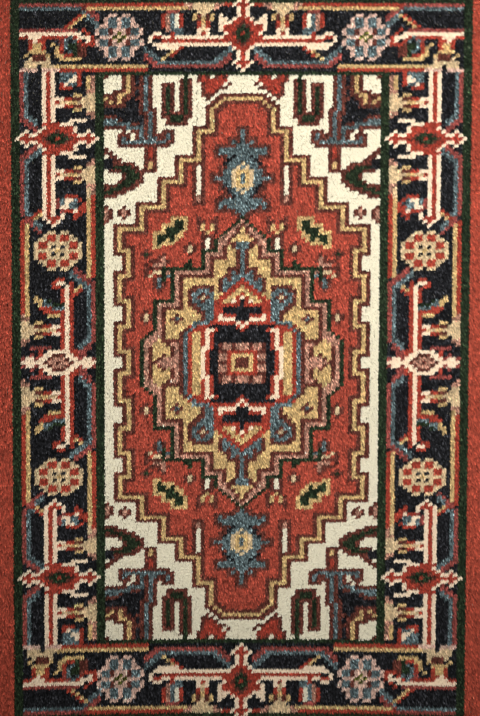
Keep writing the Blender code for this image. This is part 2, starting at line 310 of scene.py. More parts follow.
def draw_side_border():
    # edge lines: the stretch by the palmette, then the middle stretch
    line(ROSE, (50, 80), (50, 67))
    diagonal(ROSE, (49, 66), (46, 63))
    line(BLUE, (49, 80), (49, 68))
    diagonal(BLUE, (48, 67), (47, 66))
    diagonal(ROSE, (46, 60), (49, 57))
    line(ROSE, (50, 57), (50, 41))
    diagonal(ROSE, (49, 39), (46, 36))
    diagonal(BLUE, (46, 58), (49, 55))
    line(BLUE, (49, 55), (49, 41))
    diagonal(BLUE, (48, 40), (46, 37))
    line(RED, (50, 39), (50, 12))
    line(GOLD, (49, 38), (49, 11))
    line(PINK, (34, 79), (34, 74))
    line(GOLD, (35, 79), (35, 74))
    line(RED, (34, 46), (34, 24))
    line(GOLD, (35, 46), (35, 24))
    line(PINK, (34, 51), (34, 47))
    line(TAN, (35, 51), (35, 46))
    diagonal(ROSE, (38, 25), (35, 22))
    line(ROSE, (34, 22), (34, 6))
    diagonal(ROSE, (35, 4), (37, 2))
    diagonal(BLUE, (39, 24), (36, 21))
    line(BLUE, (35, 21), (35, 6))
    diagonal(BLUE, (36, 5), (37, 4))
    # stem by the palmette, with its hook
    box(CREAM, 43, 45, 41, 80)
    line(RED, (44, 80), (44, 40), (43, 39))
    line(CREAM, (45, 41), (45, 40), (43, 38), (42, 39))
    line(CREAM, (43, 41), (41, 40), (41, 41))
    dots(RED, (43, 40), (42, 40))
    line(RED, (46, 42), (48, 40))
    line(GOLD, (46, 41), (47, 40))
    # middle stem, with its hook
    box(CREAM, 40, 40, 3, 21)
    line(RED, (39, 3), (39, 22))
    line(RED, (41, 3), (41, 20))
    line(RED, (43, 22), (43, 21), (42, 21))
    line(RED, (42, 23), (41, 23))
    line(CREAM, (40, 20), (40, 21), (41, 22), (42, 22))
    line(RED, (38, 19), (37, 20))
    line(GOLD, (38, 20), (37, 21))
    # palmette
    pen = pen_at(42, 62, (0, 1), (-1, 0))
    draw_palmette(pen, 9)
    pen(RED, (3, -2), (3, 3))
    pen(CREAM, (4, -1), (4, 3))
    pen(RED, (4, -3), (4, -2))
    pen(CREAM, (5, 3), (5, 6))
    pen(CREAM, (3, 4), (1, 5))
    pen(RED, (4, 0), (4, -2))
    # middle palmette: a pale diamond on a long spike
    pen = pen_at(42, 0, (0, 1), (1, 0))
    for way in (1, -1):
        pen(CREAM, (0, way * 4), (0, way * 8))
        pen(ROSE, (2, way * 6))
        pen(ROSE, (1, way * 8))
        pen(ROSE, (1, way * 5))
        pen(CREAM, (1, way * 6), (1, way * 7))
        pen(CREAM, (0, way * 4), (1, way * 4), (2, way * 3), (2, way * 2), (3, way))
        pen(CREAM, (1, way * 3))
        pen(CREAM, (3, 0), (3, way * 2))
        pen(RED, (2, way * 4), (4, way * 3))
        pen(MAROON, (0, way * 3), (1, way * 2), (2, way))
        pen(MAROON, (2, 0))
        pen(PINK, (0, way), (0, way * 2))
        pen(PINK, (1, 0), (1, way))
    dots(MAROON, (42, 0))
    line(ROSE, (44, 4), (48, 4))
    # calyces along both edges
    for row in (72, 52):
        draw_calyx(pen_at(34, row, (0, 1), (1, 0)))
    draw_calyx(pen_at(50, 9, (0, 1), (-1, 0)))
    # buds: a red rim round slanting stripes
    box(BLUE, 38, 41, 77, 80)
    line(CREAM, (38, 79), (38, 78), (40, 77))
    line(RED, (37, 80), (37, 77))
    line(RED, (40, 76), (39, 76))
    line(RED, (41, 76), (41, 77))
    box(BLUE, 38, 41, 43, 45)
    line(CREAM, (41, 43), (40, 43), (38, 42))
    line(CREAM, (40, 45), (39, 45))
    dots(CREAM, (40, 44))
    line(RED, (40, 46), (38, 46), (36, 44), (36, 42), (37, 41), (38, 40))
    line(RED, (37, 43), (37, 42))
    line(RED, (40, 42), (38, 41))
    line(ROSE, (42, 45), (42, 43), (41, 42))
    # crescent bud of the middle stretch
    line(GOLD, (47, 18), (47, 17), (44, 13), (42, 13))
    line(GOLD, (46, 17), (46, 16))
    line(RED, (46, 15), (44, 14), (41, 14))
    line(RED, (45, 15), (44, 15))
    line(BLUE, (45, 17), (45, 16), (43, 15), (41, 15))
    line(GREEN, (44, 17), (43, 16), (41, 16))
    draw_side_rosette(*SIDE_ROSETTE)


def draw_medallion():
    fill(FIELD, MEDALLION)
    line(GOLD, *MEDALLION)
    rim(MAROON, GOLD, 0, 31, 0, 75)
    # star flower
    for v, u in ((64, 0), (63, 0), (62, 0), (61, 0), (60, 1), (59, 5), (58, 5), (57, 1), (56, 2), (55, 3),
                 (54, 3), (53, 4), (52, 4), (51, 6), (50, 4), (49, 4), (48, 3), (47, 2), (46, 1), (45, 4),
                 (44, 5), (43, 3), (42, 1), (41, 0)):
        line(BLUE, (0, v), (u, v))
    dots(BLUE, (5, 43), (2, 61), (3, 57))
    rim(MAROON, BLUE, 0, 8, 40, 65)
    line(NAVY, (2, 57), (4, 55))
    line(NAVY, (4, 49), (2, 46))
    line(TAN, (0, 55), (1, 54), (2, 53), (2, 49), (1, 48), (0, 47))
    box(GOLD, 0, 1, 49, 53)
    box(BLUE, 0, 0, 50, 52)
    # bars
    box(MAROON, 9, 11, 44, 55)
    line(IVORY, (10, 47), (10, 54))
    line(PINK, (10, 45), (10, 46))
    # lozenges
    for u, low, high in ((14, 37, 39), (15, 36, 39), (16, 34, 37), (17, 35, 37), (18, 34, 35), (19, 33, 35)):
        box(GREEN, u, u, low, high)
    rim(GOLD, GREEN, 12, 21, 32, 41)
    dots(FIELD, (12, 40), (17, 39), (12, 36), (13, 36), (21, 32), (21, 36), (18, 32), (15, 33))
    # gold tulips, dots and little bars
    line(MAROON, (6, 40), (6, 36), (8, 34))
    line(MAROON, (10, 40), (10, 37), (8, 35))
    box(MAROON, 7, 9, 31, 35)
    line(IVORY, (8, 32), (8, 34))
    line(GOLD, (7, 38), (7, 37), (8, 36), (9, 37), (9, 38))
    line(MAROON, (7, 39), (9, 39))
    dots(FIELD, (8, 39), (8, 38))
    dots(MAROON, (21, 30), (22, 31), (23, 30), (22, 29))
    dots(GREEN, (22, 30), (12, 27), (13, 27), (12, 28))
    for u, v in ((12, 31), (22, 12)):
        box(MAROON, u - 1, u + 1, v, v + 1)
        line(MAROON, (u, v - 1), (u, v + 2))
        line(TAN, (u, v), (u, v + 1))


def draw_inner_medallion():
    fill(PINK, INNER_MEDALLION)
    line(GREEN, *INNER_MEDALLION)
    fill(GOLD, inset(INNER_MEDALLION, 2))
    line(MAROON, *inset(INNER_MEDALLION, 2))
    # little flower on the shoulder
    line(GREEN, (16, 26), (18, 26), (18, 23))
    line(MAROON, (19, 26), (21, 26))
    line(MAROON, (17, 28), (18, 30), (19, 29), (19, 28), (21, 28), (22, 26), (22, 24))
    line(PINK, (18, 29), (18, 27), (20, 27))
    line(TAN, (19, 25), (20, 25))
    dots(TAN, (19, 24), (21, 24))
    line(MAROON, (19, 24), (20, 23), (20, 21))
    line(BLUE, (19, 23), (19, 21))
    line(MAROON, (18, 22), (18, 21), (19, 20))
    dots(BLUE, (17, 24))
    dots(PINK, (17, 25))
    # blue star above the heart
    line(BLUE, (0, 33), (0, 26))
    line(BLUE, (0, 33), (1, 33), (1, 32))
    line(MAROON, (2, 33), (1, 31), (1, 26))
    dots(BLUE, (0, 25), (0, 24), (1, 24), (2, 24), (2, 25), (1, 23), (2, 23), (4, 23), (2, 22), (3, 22),
         (4, 22), (3, 21), (4, 21), (4, 20))
    line(MAROON, (1, 25), (1, 26), (3, 26), (3, 24), (4, 24), (5, 23), (5, 21))
    dots(MAROON, (3, 25), (3, 23), (5, 20))
    # corner flowers of the heart
    for v, u0, u1 in ((20, 8, 10), (19, 7, 11), (18, 7, 11), (17, 7, 11), (16, 7, 10), (15, 7, 9), (14, 7, 8),
                      (13, 7, 8), (12, 7, 8), (11, 7, 8)):
        line(BLUE, (u0, v), (u1, v))
    rim(MAROON, BLUE, 7, 13, 10, 21)
    line(MAROON, (8, 18), (9, 19), (10, 18), (9, 17))
    dots(TAN, (9, 18))
    line(BLUE, (10, 11), (13, 8), (13, 0))
    line(MAROON, (11, 11), (14, 8), (14, 0))
    # gold diamonds in the corners
    line(MAROON, (15, 13), (16, 12), (15, 11), (14, 12))
    dots(BLUE, (15, 12))
    # side squares
    box(MAROON, 15, 18, 0, 6)
    box(GOLD, 17, 20, 2, 5)
    line(PINK, (15, 5), (15, 0), (19, 0))
    line(PINK, (15, 1), (18, 1))
    line(MAROON, (17, 5), (18, 6), (19, 6))
    dots(MAROON, (18, 2), (19, 1), (20, 0))
    dots(PINK, (16, 5))
    dots(GOLD, (20, 1), (19, 6))


def draw_heart():
    # the point above: red, gold and pale chevrons over a navy cross
    for v in range(11, 24):
        line(RED, (0, v), (min(23 - v, 6), v))
    line(GOLD, (0, 21), (5, 16))
    line(GOLD, (0, 20), (4, 16))
    line(RED, (0, 19), (3, 16))
    line(CREAM, (0, 18), (2, 17))
    line(RED, (1, 16), (5, 16))
    dots(RED, (1, 18))
    line(NAVY, (0, 17), (0, 16))
    box(NAVY, 0, 4, 14, 15)
    box(NAVY, 0, 1, 12, 13)
    line(CREAM, (0, 10), (2, 12), (5, 12), (5, 13))
    line(RED, (0, 9), (1, 10))
    line(RED, (2, 11), (5, 11))
    dots(RED, (0, 11), (2, 13))
    dots(CREAM, (1, 11))
    # the navy middle and its two stepped side frames
    box(NAVY, 1, 6, 9, 10)
    dots(CREAM, (0, 10), (1, 11))
    dots(RED, (0, 9), (1, 10))
    box(NAVY, 0, 7, 0, 8)
    line(RED, (7, 11), (8, 10))
    box(RED, 7, 12, 0, 10)
    line(GOLD, (10, 8), (10, 0))
    line(GOLD, (11, 8), (11, 0))
    line(CREAM, (7, 9), (8, 9), (8, 4), (9, 4), (9, 0))
    dots(RED, (6, 9), (7, 8))
    box(NAVY, 7, 7, 0, 3)
    line(BLUE, (10, 11), (13, 8))
    line(BLUE, (9, 11), (11, 11))
    dots(NAVY, (7, 10), (6, 10))
    # the middle square and its twelve pink blocks
    box(MAROON, 0, 5, 0, 5)
    for u0, u1, v0, v1 in ((0, 1, 4, 5), (3, 4, 4, 5), (4, 5, 1, 2)):
        box(PINK, u0, u1, v0, v1)
    box(RED, 0, 3, 0, 3)
    box(GOLD, 0, 2, 0, 2)
    box(MAROON, 0, 1, 0, 1)


def draw_spandrel():
    # red spray beside the axis
    for v, u0, u1 in ((79, 4, 10), (78, 4, 9), (77, 5, 8), (76, 6, 8), (75, 7, 8)):
        line(RED, (u0, v), (u1, v))
    line(MAROON, (3, 77), (5, 76), (8, 73))
    line(MAROON, (10, 78), (9, 77), (9, 74), (8, 74))
    dots(IVORY, (7, 79))
    dots(MAROON, (6, 79), (8, 79), (10, 79), (4, 79))
    # green loop
    line(GREEN, (13, 79), (13, 69), (14, 68), (16, 68), (17, 69), (17, 76))
    line(GREEN, (14, 67), (16, 67))
    rim(MAROON, GREEN, 11, 19, 65, 78)
    line(IVORY, (15, 79), (15, 70))
    # corner piece
    box(NAVY, 24, 31, 68, 79)
    line(NAVY, (27, 67), (24, 67))
    box(IVORY, 28, 31, 75, 79)
    line(GOLD, (26, 79), (26, 74), (28, 74), (28, 72))
    line(GOLD, (31, 73), (30, 72))
    line(MAROON, (25, 79), (25, 74), (27, 73), (27, 71), (28, 71), (29, 72), (29, 74), (31, 74))
    line(MAROON, (27, 79), (27, 75), (28, 75))
    dots(MAROON, (31, 79), (31, 71), (30, 71), (30, 73), (24, 76), (24, 73))
    # blue stem with its branch and two horns
    line(BLUE, (22, 79), (22, 70))
    line(BLUE, (21, 69), (21, 61))
    line(BLUE, (21, 62), (20, 61), (18, 61), (17, 62))
    dots(BLUE, (17, 63), (20, 62))
    line(BLUE, (31, 67), (29, 67))
    line(BLUE, (31, 66), (26, 66))
    dots(BLUE, (27, 62))
    line(BLUE, (26, 65), (23, 65))
    line(BLUE, (23, 64), (23, 61))
    line(BLUE, (22, 61), (27, 61))
    rim(MAROON, BLUE, 16, 28, 60, 79, keep=(NAVY, GREEN))
    line(MAROON, (29, 65), (31, 65))
    line(MAROON, (29, 68), (31, 68))
    dots(IVORY, (25, 63), (25, 62), (26, 64))
    line(NAVY, (23, 68), (23, 66))
    # red spear
    box(MAROON, 20, 22, 54, 59)
    line(RED, (21, 59), (21, 56))
    dots(GOLD, (21, 55), (21, 54))
    dots(MAROON, (21, 53))
    # green hook on the long side
    box(NAVY, 30, 31, 54, 56)
    for v, u0, u1 in ((54, 26, 29), (53, 25, 27), (52, 24, 26), (51, 24, 26), (50, 25, 27), (49, 26, 28),
                      (48, 28, 30), (47, 30, 31)):
        line(GREEN, (u0, v), (u1, v))
    rim(MAROON, GREEN, 23, 31, 45, 55, keep=(NAVY,))
    diagonal(MAROON, (31, 58), (28, 55))
    box(IVORY, 29, 31, 50, 52)
    line(IVORY, (28, 51), (28, 52))
    # small diamonds
    line(MAROON, (27, 43), (28, 42), (28, 41), (27, 40))
    line(MAROON, (26, 42), (26, 41))
    line(PINK, (27, 42), (27, 41))
    line(MAROON, (31, 43), (30, 42), (30, 40), (31, 39))
    line(PINK, (31, 42), (31, 40))


draw_bands()
draw_end_border()
draw_side_border()
draw_spandrel()
draw_medallion()
draw_inner_medallion()
draw_heart()


# ---- Which CAD zone each knot belongs to, for one quarter ----
def within(steps):
    """The knots from the middle of the rug out to a line of steps, the line among them."""
    kept = chart.copy()
    chart[:] = -1
    fill(0, steps)
    found = chart == 0
    chart[:] = kept
    return found


def grown(mask):
    wide = np.pad(mask, 1, mode="edge")
    rows, columns = mask.shape
    return np.any([wide[dv:dv + rows, du:du + columns] for dv in range(3) for du in range(3)], axis=0)


def in_rosette(u, v, middle, half):
    return ((u - middle[0]) / half[0]) ** 2 + ((v - middle[1]) / half[1]) ** 2 < 1


def zones():
    """The name of the zone of every knot of the quarter."""
    v, u = np.mgrid[0:LAST_ROW + 1, 0:LAST_COLUMN + 1]
    gold_line = within(MEDALLION)
    found = np.full(chart.shape, "spandrel", dtype=object)
    found[grown(gold_line)] = "medallion_outline"
    found[gold_line & ~grown(~gold_line) & ~grown(grown(~gold_line))] = "medallion_ground"
    found[within(INNER_MEDALLION)] = "inner_outline"
    found[within(inset(INNER_MEDALLION, 3))] = "inner_ground"
    found[within(HEART)] = "heart"
    found[(u > FIELD_EDGE[0]) | (v > FIELD_EDGE[1])] = "inner_guard"
    found[(u > INNER_GUARD_EDGE[0]) | (v > INNER_GUARD_EDGE[1])] = "border"
    found[in_rosette(u, v, SIDE_ROSETTE, SIDE_ROSETTE_HALF)] = "rosette_side"
    found[in_rosette(u, v, END_ROSETTE, END_ROSETTE_HALF)] = "rosette_end"
    found[(u > BORDER_EDGE[0]) | (v > BORDER_EDGE[1])] = "outer_guard"
    found[(u > OUTER_GUARD_EDGE[0]) | (v > OUTER_GUARD_EDGE[1])] = "band"
    return found


def node_of(zone, u, v):
    """The CAD node of a knot of that zone at a signed column and row."""
    end = "head" if v >= 0 else "foot"
    side = "right" if u >= 0 else "left"
    if zone == "heart":
        return "heart"
    if zone == "rosette_end":
        return f"rosette_{end}_{side}"
    if zone == "rosette_side":
        return f"rosette_{side}_{end}"
    inner_edges = {"inner_guard": FIELD_EDGE, "border": INNER_GUARD_EDGE, "outer_guard": BORDER_EDGE,
                   "band": OUTER_GUARD_EDGE}
    if zone not in inner_edges:
        return f"{zone}_{end}_{side}"
    at_end = abs(v) > inner_edges[zone][1]
    if zone == "band":
        return f"end_band_{end}" if at_end else f"side_band_{side}"
    return f"{zone}_{end if at_end else side}"


# ---- Laying the knots out on the whole rug ----
rng = np.random.default_rng(7)
rows, columns = np.mgrid[-LAST_ROW:LAST_ROW + 1, -LAST_COLUMN:LAST_COLUMN + 1]
quarter_zone = zones()
knot_dye = chart[abs(rows), abs(columns)]
knot_node = np.array([[node_of(quarter_zone[abs(v), abs(u)], u, v) for u, v in zip(cs, rs)]
                      for cs, rs in zip(columns, rows)])

# Hand weaving isn't quite square. Each pair is a row and how many knots it runs ahead of the chart,
# and the drifts to the side are in knots, at the column and row that GIVEN_AT names.
ROW_SLIP = ((-110, 0.0), (-99, 1.8), (-84, 1.8), (-76, 2.5), (-60, 2.1), (-42, 0.0), (-19, -1.4), (-3, 0.0),
            (110, 0.0))
FOOT_BOW, HEAD_BOW = 0.8, 0.25
DRIFT, DRIFT_ALONG, DRIFT_BOW = 0.45, 0.25, 0.35
NARROWING, NARROWED_FROM_HEAD = 0.75, 0.3
GIVEN_AT_COLUMN, GIVEN_AT_ROW = 50, 100
EDGE_HOLD = 8


def warp(u, v):
    """Where a point of the chart lies on the rug: at the edges and corners it keeps to the outline."""
    slip_rows, slips = zip(*ROW_SLIP)
    across, along = u / GIVEN_AT_COLUMN, v / GIVEN_AT_ROW
    middle = np.clip(1 - across ** 2, 0, 1)
    ahead = np.interp(v, slip_rows, slips)
    ahead += middle * (FOOT_BOW * np.interp(v, (-110, -100, -62, -45), (0, 1, 1, 0))
                       + HEAD_BOW * np.interp(v, (30, 100, 110), (0, 1, 0)))
    sideways = DRIFT + DRIFT_ALONG * along + (NARROWING * along - NARROWED_FROM_HEAD) * across
    sideways -= DRIFT_BOW * across ** 2
    sideways *= np.clip((LAST_COLUMN + 0.5 - abs(u)) / EDGE_HOLD, 0, 1)
    return (u + sideways) * KNOT_WIDTH, (v + ahead) * KNOT_LENGTH


# ---- Meshes ----
def new_object(name, points, faces, material):
    """A mesh object from its points and its groups of faces, each group an array of (face, corner)."""
    mesh = bpy.data.meshes.new(name)
    mesh.vertices.add(len(points))
    mesh.vertices.foreach_set("co", np.asarray(points, np.float32).ravel())
    corners = np.concatenate([np.asarray(group, np.int32).ravel() for group in faces])
    sizes = np.concatenate([np.full(len(group), len(group[0]), np.int32) for group in faces])
    mesh.loops.add(len(corners))
    mesh.loops.foreach_set("vertex_index", corners)
    mesh.polygons.add(len(sizes))
    mesh.polygons.foreach_set("loop_start", np.concatenate([[0], np.cumsum(sizes)[:-1]]).astype(np.int32))
    mesh.update(calc_edges=True)
    mesh.polygons.foreach_set("use_smooth", np.ones(len(sizes), bool))
    made = bpy.data.objects.new(name, mesh)
    bpy.context.scene.collection.objects.link(made)
    mesh.materials.append(material)
    return made


def add_uv(mesh, corner_uv):
    """The piece's own map, one place for every face corner, spread over the whole square."""
    uv = np.asarray(corner_uv, np.float32)
    low, high = uv.min(0), uv.max(0)
    mesh.uv_layers.new(name="OFBake").data.foreach_set("uv", ((uv - low) / (high - low)).ravel())


def corners_of(mesh):
    index = np.empty(len(mesh.loops), np.int32)
    mesh.loops.foreach_get("vertex_index", index)
    return index


def add_colour(mesh, name, values, domain="POINT"):
    attribute = mesh.attributes.new(name, "FLOAT_COLOR", domain)
    rgba = np.ones((len(values), 4), np.float32)
    rgba[:, :3] = values
    attribute.data.foreach_set("color", rgba.ravel())


def stand_for(made, node):
    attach(made, "root")
    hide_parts(node)


# ---- Materials ----
def new_material(name):
    made = bpy.data.materials.new(name)
    made.use_nodes = True
    return made, made.node_tree, made.node_tree.nodes["Principled BSDF"]


def wool_material(name, attribute):
    """Matt wool: the dye of each strand, a little uneven along its fibres."""
    made, tree, shader = new_material(name)
    colour = tree.nodes.new("ShaderNodeVertexColor")
    colour.layer_name = attribute
    place = tree.nodes.new("ShaderNodeTexCoord")
    fibre = tree.nodes.new("ShaderNodeTexNoise")
    fibre.inputs["Scale"].default_value = 900
    fibre.inputs["Detail"].default_value = 2
    tree.links.new(place.outputs["Object"], fibre.inputs["Vector"])
    shade = tree.nodes.new("ShaderNodeMapRange")
    shade.inputs["From Min"].default_value = 0.3
    shade.inputs["From Max"].default_value = 0.7
    shade.inputs["To Min"].default_value = 0.86
    shade.inputs["To Max"].default_value = 1.12
    tree.links.new(fibre.outputs["Fac"], shade.inputs["Value"])
    mixed = tree.nodes.new("ShaderNodeMix")
    mixed.data_type = "RGBA"
    mixed.blend_type = "MULTIPLY"
    mixed.inputs["Factor"].default_value = 1
    tree.links.new(colour.outputs["Color"], mixed.inputs[6])
    tree.links.new(shade.outputs["Result"], mixed.inputs[7])
    tree.links.new(mixed.outputs[2], shader.inputs["Base Color"])
    shader.inputs["Roughness"].default_value = 0.9
    shader.inputs["Specular IOR Level"].default_value = 0.12
    return made


def yarn_material(name, light, dark, scale):
    """Matt yarn, mottled between two tones."""
    made, tree, shader = new_material(name)
    place = tree.nodes.new("ShaderNodeTexCoord")
    fibre = tree.nodes.new("ShaderNodeTexNoise")
    fibre.inputs["Scale"].default_value = scale
    fibre.inputs["Detail"].default_value = 4
    tree.links.new(place.outputs["Object"], fibre.inputs["Vector"])
    ramp = tree.nodes.new("ShaderNodeValToRGB")
    ramp.color_ramp.elements[0].position, ramp.color_ramp.elements[0].color = 0.3, (*dark, 1)
    ramp.color_ramp.elements[1].position, ramp.color_ramp.elements[1].color = 0.7, (*light, 1)
    tree.links.new(fibre.outputs["Fac"], ramp.inputs["Fac"])
    tree.links.new(ramp.outputs["Color"], shader.inputs["Base Color"])
    shader.inputs["Roughness"].default_value = 0.92
    shader.inputs["Specular IOR Level"].default_value = 0.2
    return made


wool = wool_material("dyed_wool", "dye")
cotton = yarn_material("undyed_cotton", (0.70, 0.64, 0.50), (0.46, 0.40, 0.29), 700)
red_yarn = yarn_material("red_overcasting", (0.36, 0.066, 0.040), (0.17, 0.030, 0.019), 900)
navy_yarn = yarn_material("navy_cord", (0.026, 0.028, 0.036), (0.008, 0.009, 0.013), 900)

# ---- Wool pile ----
STRANDS = 8
STRAND_STEP = 3
KNOT_WANDER = 0.05
PILE_ROOT, PILE_TIP = 0.0031, 0.0114
UNEVEN_CUT = 0.00035
LEAN = np.array([0.0012, -0.0040])
LEAN_SPREAD, LEAN_WANDER = 0.12, 0.00042
TIP_FORWARD = 0.32
ROOT_RADIUS, TIP_RADIUS = 0.0013, 0.00050
THINNEST, THICKEST = 0.85, 1.2
CAP_TILT = 0.0002
LOFT = np.ones(len(DYES))
LOFT[[IVORY, CREAM]] = 1.5, 1.2
ROOT_PRINT, TIP_PRINT = 0.5, 0.22


def pile(node):
    """The cut tufts of one zone: every knot gives a bundle of leaning, three-sided strands."""
    at = knot_node == node
    u, v, dye = columns[at], rows[at], knot_dye[at]
    count, total = len(u), len(u) * STRANDS
    order = np.arange(STRANDS)
    offsets = (np.stack([order, order * STRAND_STEP % STRANDS], 1) + 0.5) / STRANDS - 0.5
    knot_slip = rng.normal(0, KNOT_WANDER, (count, 1, 2))
    strand_slip = rng.normal(0, KNOT_WANDER, (count, STRANDS, 2))
    spot = np.stack([u, v], 1)[:, None] + offsets[None] + knot_slip + strand_slip
    foot = np.stack(warp(spot[..., 0].ravel(), spot[..., 1].ravel()), 1)
    lean = LEAN * rng.normal(1, LEAN_SPREAD, (total, 1)) + rng.normal(0, LEAN_WANDER, (total, 2))
    root = foot - lean * (1 - TIP_FORWARD)
    tip = root + lean
    tip_z = PILE_TIP + rng.normal(0, UNEVEN_CUT, total)
    ring = rng.uniform(0, math.tau, total)[:, None] + np.arange(3) * math.tau / 3
    loft = np.repeat(LOFT[dye], STRANDS)[:, None]
    tip_radius = TIP_RADIUS * (rng.uniform(THINNEST, THICKEST, (total, 1)) * loft)
    cap_z = tip_z[:, None] + rng.normal(0, CAP_TILT, ring.shape) / loft ** 2
    low = np.stack([root[:, :1] + ROOT_RADIUS * np.cos(ring), root[:, 1:] + ROOT_RADIUS * np.sin(ring),
                    np.full(ring.shape, PILE_ROOT)], 2)
    high = np.stack([tip[:, :1] + tip_radius * np.cos(ring), tip[:, 1:] + tip_radius * np.sin(ring),
                     cap_z], 2)
    points = np.concatenate([low, high], 1).reshape(-1, 3)
    first = (np.arange(total) * 6)[:, None]
    sides = np.concatenate([first + np.array([[i, (i + 1) % 3, 3 + (i + 1) % 3, 3 + i]])
                            for i in range(3)])
    caps = np.concatenate([first + np.array([[3, 4, 5]]), first + np.array([[2, 1, 0]])])
    made = new_object(f"pile_{node}", points, [sides, caps], wool)
    spread = np.repeat(TONE[dye], STRANDS)[:, None]
    tone = np.exp(rng.normal(0, 1, (total, 1)) * spread - spread ** 2 / 2)
    colour = np.repeat(DYE_COLOURS[dye], STRANDS, axis=0) * tone
    add_colour(made.data, "dye", np.clip(np.repeat(colour, 6, axis=0), 0, 1))
    # on the map each strand is two triangles, the tip's inside the root's
    patch = np.array([KNOT_WIDTH, KNOT_LENGTH]) / math.sqrt(STRANDS)
    size = np.repeat([ROOT_PRINT, TIP_PRINT], 3)[:, None]
    turns = np.tile(np.arange(3) * math.tau / 3, 2)
    corner = size * np.stack([np.cos(turns), np.sin(turns)], 1) * patch
    print_at = foot[:, None] + corner[None]
    add_uv(made.data, print_at.reshape(-1, 2)[corners_of(made.data)])
    stand_for(made, node)


# The CAD node of each kind of zone, each of which must be among the imported parts.
PILE_NODES = sorted(set(knot_node.ravel()))
unknown = set(PILE_NODES) - set(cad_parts)
assert not unknown, unknown
for node in PILE_NODES:
    pile(node)

# ---- Yarns: tubes swept along their paths ----
UP = np.array([0.0, 0.0, 1.0])
TUBE_SIDES = 5
MAP_MARGIN = 0.05


def yarns(name, paths, across, thick, material, up=UP):
    """One piece from many closed tubes. Paths are (yarn, ring, xyz); across and thick are half sizes."""
    many, rings, _ = paths.shape
    along = np.gradient(paths, axis=1)
    along /= np.linalg.norm(along, axis=2, keepdims=True)
    sideways = np.cross(along, np.broadcast_to(up, paths.shape))
    sideways /= np.linalg.norm(sideways, axis=2, keepdims=True)
    over = np.cross(sideways, along)
    sides = TUBE_SIDES
    turn = np.arange(sides) * math.tau / sides
    across, thick = np.broadcast_to(across, (many, rings)), np.broadcast_to(thick, (many, rings))
    points = (paths[:, :, None] + across[:, :, None, None] * sideways[:, :, None] * np.cos(turn)[:, None]
              + thick[:, :, None, None] * over[:, :, None] * np.sin(turn)[:, None])
    ring_first = (np.arange(many)[:, None] * rings + np.arange(rings - 1)).ravel() * sides
    here, after = np.arange(sides), (np.arange(sides) + 1) % sides
    walls = np.stack([ring_first[:, None] + here, ring_first[:, None] + after,
                      ring_first[:, None] + after + sides, ring_first[:, None] + here + sides], 2)
    starts = np.arange(many)[:, None] * rings * sides
    caps = np.concatenate([starts + here[::-1], starts + (rings - 1) * sides + here])
    made = new_object(name, points.reshape(-1, 3), [walls.reshape(-1, 4), caps], material)
    cells = len(ring_first) + len(caps)
    wide = math.ceil(math.sqrt(cells))
    at = np.stack([np.arange(cells) % wide, np.arange(cells) // wide], 1).astype(float)
    edge = np.array([[0, 0], [0, 1], [1, 1], [1, 0]]) * [1, 1 / sides]
    wall_uv = at[:len(ring_first), None, None] + MAP_MARGIN + (1 - 2 * MAP_MARGIN) * (
        edge[None, None] + np.stack([here * 0, here / sides], 1)[None, :, None])
    cap_uv = at[len(ring_first):, None] + 0.5 + 0.4 * np.stack([np.cos(turn), np.sin(turn)], 1)[None]
    add_uv(made.data, np.concatenate([wall_uv.reshape(-1, 2), cap_uv.reshape(-1, 2)]))
    return made


# ---- Woven ground and flat-woven ends ----
COTTON_COLOUR = np.array([0.55, 0.49, 0.37])
CELL_CORNERS = 12
MAP_GAP = 0.02
WEAVE_UNDERSIDE, WEAVE_TOP, KNOT_BACK = 0.0009, 0.0030, 0.0007
KILIM_LENGTH = 0.012
KILIM_CELLS = (161, 10)
KILIM_UNDERSIDE, KILIM_TOP, KILIM_BUMP = 0.0005, 0.0018, 0.0004
SEAM = 0.00015


